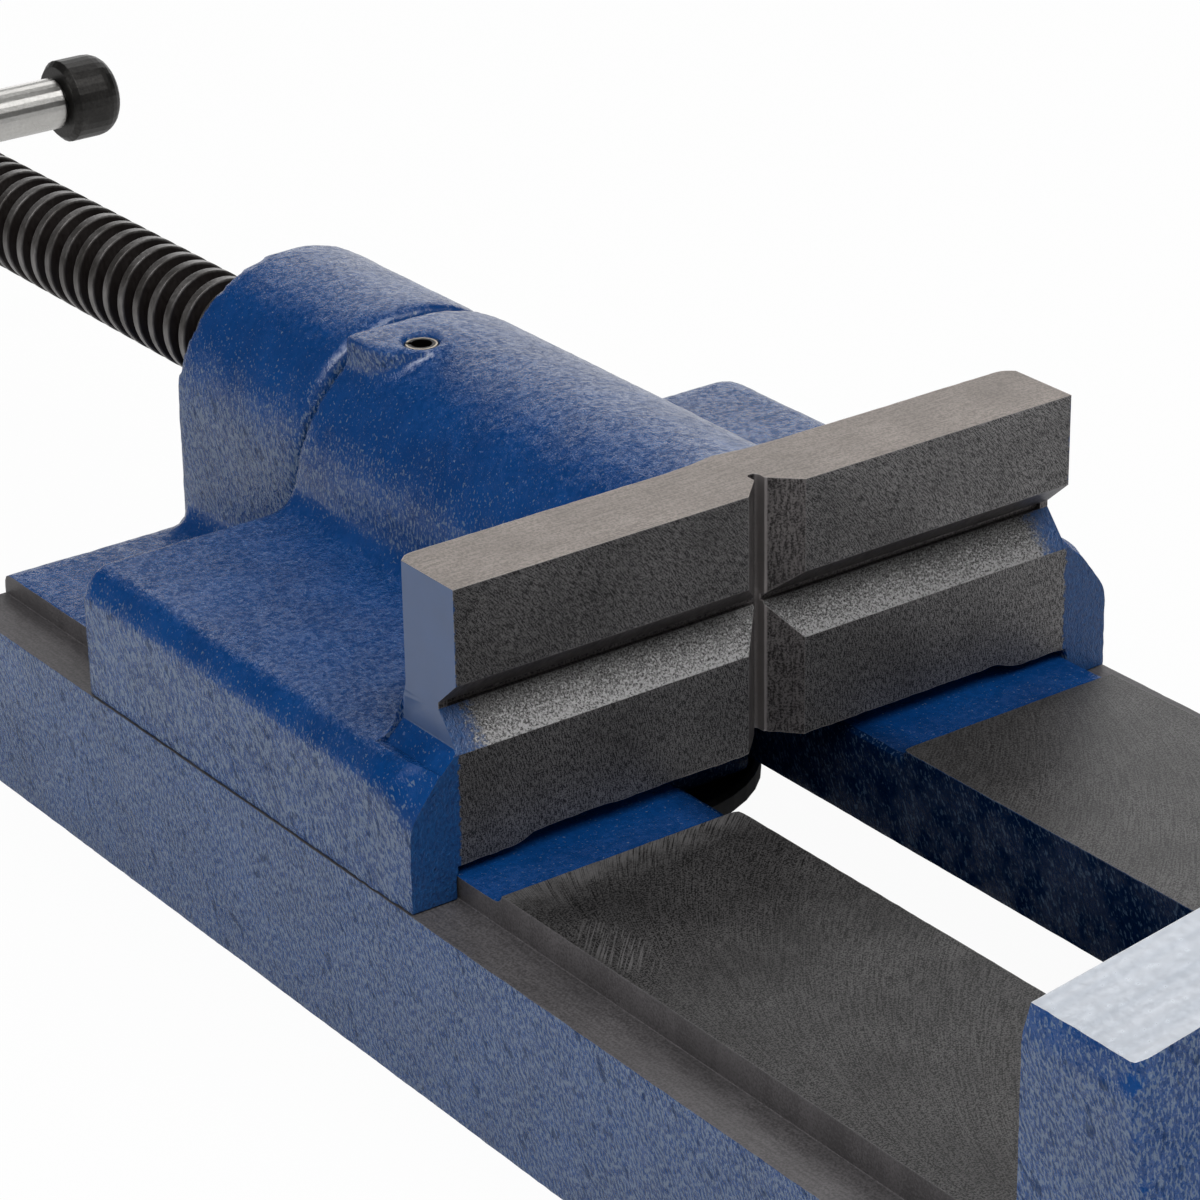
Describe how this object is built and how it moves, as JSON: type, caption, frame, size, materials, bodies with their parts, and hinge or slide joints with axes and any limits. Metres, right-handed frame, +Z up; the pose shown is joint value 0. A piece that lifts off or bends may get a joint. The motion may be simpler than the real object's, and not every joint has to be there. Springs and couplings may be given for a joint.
{
  "type": "drill press vise",
  "caption": "Cast drill press vise with a grooved sliding jaw drawn along a slotted base by a screw and tommy bar.",
  "frame": {"origin": "middle of the whole vise's length and width, on the underside of the base, with the jaws 123 mm apart", "axes": "+X along the jaws to the right as seen from the fixed jaw, +Y from the fixed jaw towards the handle along the screw, +Z up"},
  "size_m": [0.1272, 0.4684, 0.0743],
  "materials": {
    "blue_painted_casting": "glossy paint on rough castings, with ground and milled faces left bare",
    "blackened_screw": "blackened and oily",
    "bright_steel": "drawn and ground",
    "black_oxide_steel": "black oxide, satin",
    "zinc_plated_steel": "zinc plated"
  },
  "bodies": {
    "base": {"base_casting": "blue_painted_casting"},
    "jaw": {"moving_jaw": "blue_painted_casting", "keeper_plate": "black_oxide_steel", "lock_washer": "zinc_plated_steel", "keeper_bolt": "zinc_plated_steel", "spindle_pin": "bright_steel"},
    "screw": {"lead_screw": "blackened_screw", "screw_head": "black_oxide_steel", "head_pin": "bright_steel"},
    "bar": {"tommy_bar": "bright_steel", "bar_knob_left": "black_oxide_steel", "bar_knob_right": "black_oxide_steel"}
  },
  "joints": [
    {"name": "jaw_slide", "type": "slide", "parent": "base", "child": "jaw", "axis": [0, 1, 0], "range_m": [-0.1225, 0.0025]},
    {"name": "screw_turn", "type": "hinge", "parent": "jaw", "child": "screw", "pos_m": [0, 0.03, 0.0527], "axis": [0, 1, 0], "range_deg": [-8821, 181]},
    {"name": "bar_slide", "type": "slide", "parent": "screw", "child": "bar", "axis": [1, 0, 0], "range_m": [-0.0245, 0.0245]}
  ],
  "couplings": [
    {"joint": "screw_turn", "follows": "jaw_slide", "rad_per_m": 1256.6}
  ]
}
